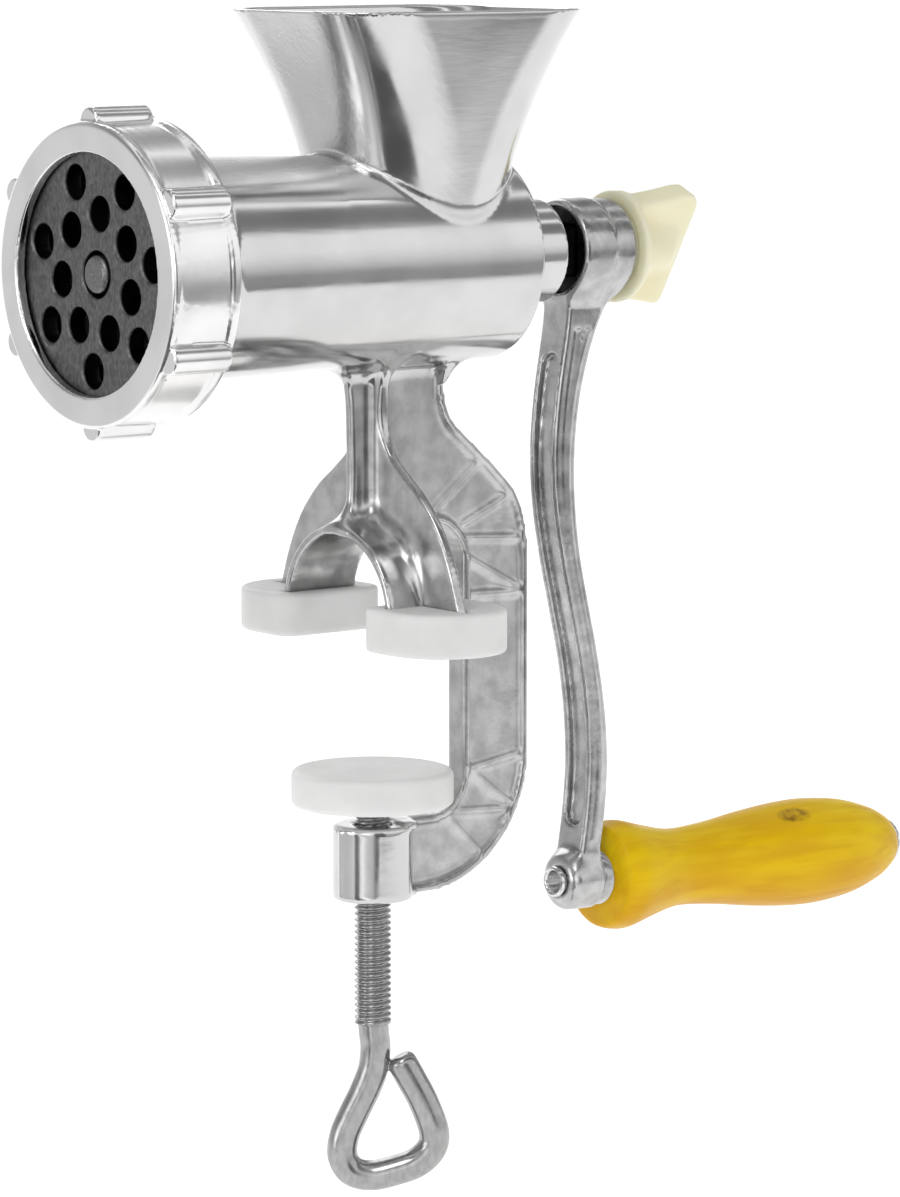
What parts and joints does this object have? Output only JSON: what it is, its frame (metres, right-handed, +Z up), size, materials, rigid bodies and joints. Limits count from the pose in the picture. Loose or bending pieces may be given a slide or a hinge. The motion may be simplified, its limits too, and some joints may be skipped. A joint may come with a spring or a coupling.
{
  "type": "hand crank meat grinder",
  "caption": "Polished aluminium hand crank meat grinder with a flared hopper, perforated outlet plate, S-shaped crank with a yellow wooden grip, and a screw clamp for a table edge.",
  "frame": {"origin": "on the table top, on the axis of the clamp screw, midway between the undersides of the two feet", "axes": "+Z up along the clamp screw, +X along the grinding axis towards the crank, so the outlet faces -X; the feet stand at +Y and -Y"},
  "size_m": [0.2553, 0.085, 0.2871],
  "materials": {
    "body_casting": "polished casting, satin in the webs",
    "retaining_ring": "polished",
    "outlet_plate": "dark, fine machining marks",
    "plate_key_pin": "bright",
    "cross_knife": "ground",
    "auger": "as cast with a turned journal",
    "auger_nose_pin": "dark, turned",
    "rear_bush": "nylon",
    "crank_arm": "tumbled casting",
    "hub_washer": "bright",
    "knob_stud": "zinc plated",
    "thumb_knob": "slightly translucent cream",
    "handle_grip": "glossy yellow lacquer",
    "handle_spindle": "nickel plated",
    "handle_washer": "satin",
    "handle_end_cap": "nickel plated",
    "foot_pad_left": "soft white plastic",
    "foot_pad_right": "soft white plastic",
    "clamp_pad": "soft white plastic",
    "clamp_swivel_disc": "bright",
    "clamp_screw": "zinc plated"
  },
  "bodies": {
    "frame": {"body_casting": "body_casting", "plate_key_pin": "plate_key_pin", "rear_bush": "rear_bush", "foot_pad_left": "foot_pad_left", "foot_pad_right": "foot_pad_right"},
    "crank": {"auger": "auger", "auger_nose_pin": "auger_nose_pin", "cross_knife": "cross_knife", "crank_arm": "crank_arm", "handle_spindle": "handle_spindle", "handle_washer": "handle_washer", "handle_end_cap": "handle_end_cap"},
    "grip": {"handle_grip": "handle_grip"},
    "knob_slide": {"hub_washer": "hub_washer"},
    "knob": {"thumb_knob": "thumb_knob", "knob_stud": "knob_stud"},
    "plate": {"outlet_plate": "outlet_plate"},
    "ring": {"retaining_ring": "retaining_ring"},
    "clamp": {"clamp_pad": "clamp_pad", "clamp_swivel_disc": "clamp_swivel_disc"},
    "screw": {"clamp_screw": "clamp_screw"}
  },
  "joints": [
    {"name": "crank_spin", "type": "hinge", "parent": "frame", "child": "crank", "pos_m": [0, 0, 0.0915], "axis": [1, 0, 0], "continuous": true},
    {"name": "grip_spin", "type": "hinge", "parent": "crank", "child": "grip", "pos_m": [0.06305, 0, -0.066], "axis": [0.9998, 0, -0.0175], "continuous": true},
    {"name": "knob_draw", "type": "slide", "parent": "crank", "child": "knob_slide", "axis": [1, 0, 0], "range_m": [0, 0.01]},
    {"name": "knob_turn", "type": "hinge", "parent": "knob_slide", "child": "knob", "pos_m": [0.0748, 0, 0.0915], "axis": [1, 0, 0], "range_deg": [0, 2881]},
    {"name": "ring_draw", "type": "slide", "parent": "frame", "child": "plate", "axis": [-1, 0, 0], "range_m": [0, 0.014]},
    {"name": "ring_turn", "type": "hinge", "parent": "plate", "child": "ring", "pos_m": [-0.0801, 0, 0.0915], "axis": [-1, 0, 0], "range_deg": [0, 1681]},
    {"name": "clamp_travel", "type": "slide", "parent": "frame", "child": "clamp", "axis": [0, 0, 1], "range_m": [-0.0035, 0.03]},
    {"name": "screw_turn", "type": "hinge", "parent": "clamp", "child": "screw", "pos_m": [0, 0, -0.0381], "axis": [0, 0, 1], "range_deg": [-841, 7201]}
  ],
  "couplings": [
    {"joint": "knob_turn", "follows": "knob_draw", "rad_per_m": 5026.5},
    {"joint": "ring_turn", "follows": "ring_draw", "rad_per_m": 2094.4},
    {"joint": "screw_turn", "follows": "clamp_travel", "rad_per_m": 4188.8}
  ]
}
